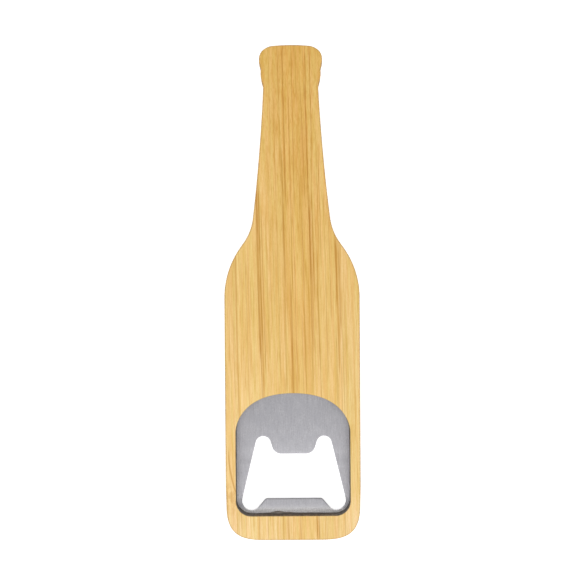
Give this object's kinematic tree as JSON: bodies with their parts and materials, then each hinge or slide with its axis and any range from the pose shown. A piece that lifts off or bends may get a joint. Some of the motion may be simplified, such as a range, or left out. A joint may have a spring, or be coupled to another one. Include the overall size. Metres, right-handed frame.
{
  "type": "bottle opener",
  "caption": "Flat bottle-shaped opener: laminated bamboo board with an arched window and a punched stainless opener plate glued into its back.",
  "frame": {"origin": "middle of the bottle outline, on the back face that it lies on", "axes": "+Z out of the front face, +Y along the length towards the bottle's mouth, +X to the right seen from the front"},
  "size_m": [0.0404, 0.148, 0.008],
  "materials": {
    "bamboo_pale": "satin lacquered bamboo, pale strips",
    "bamboo_honey": "satin lacquered bamboo, honey strips",
    "bamboo_gold": "satin lacquered bamboo, golden strip",
    "brushed_stainless": "brushed along the length",
    "adhesive": "cured glue"
  },
  "bodies": {
    "root": {"strip_1_left_edge": "bamboo_pale", "strip_2_upper": "bamboo_pale", "strip_2_base": "bamboo_pale", "strip_3_upper": "bamboo_honey", "strip_3_base": "bamboo_honey", "strip_4_upper": "bamboo_gold", "strip_4_base": "bamboo_gold", "strip_5_upper": "bamboo_honey", "strip_5_base": "bamboo_honey", "strip_6_right_edge": "bamboo_pale", "opener_plate": "brushed_stainless", "plate_adhesive": "adhesive"}
  },
  "joints": []
}
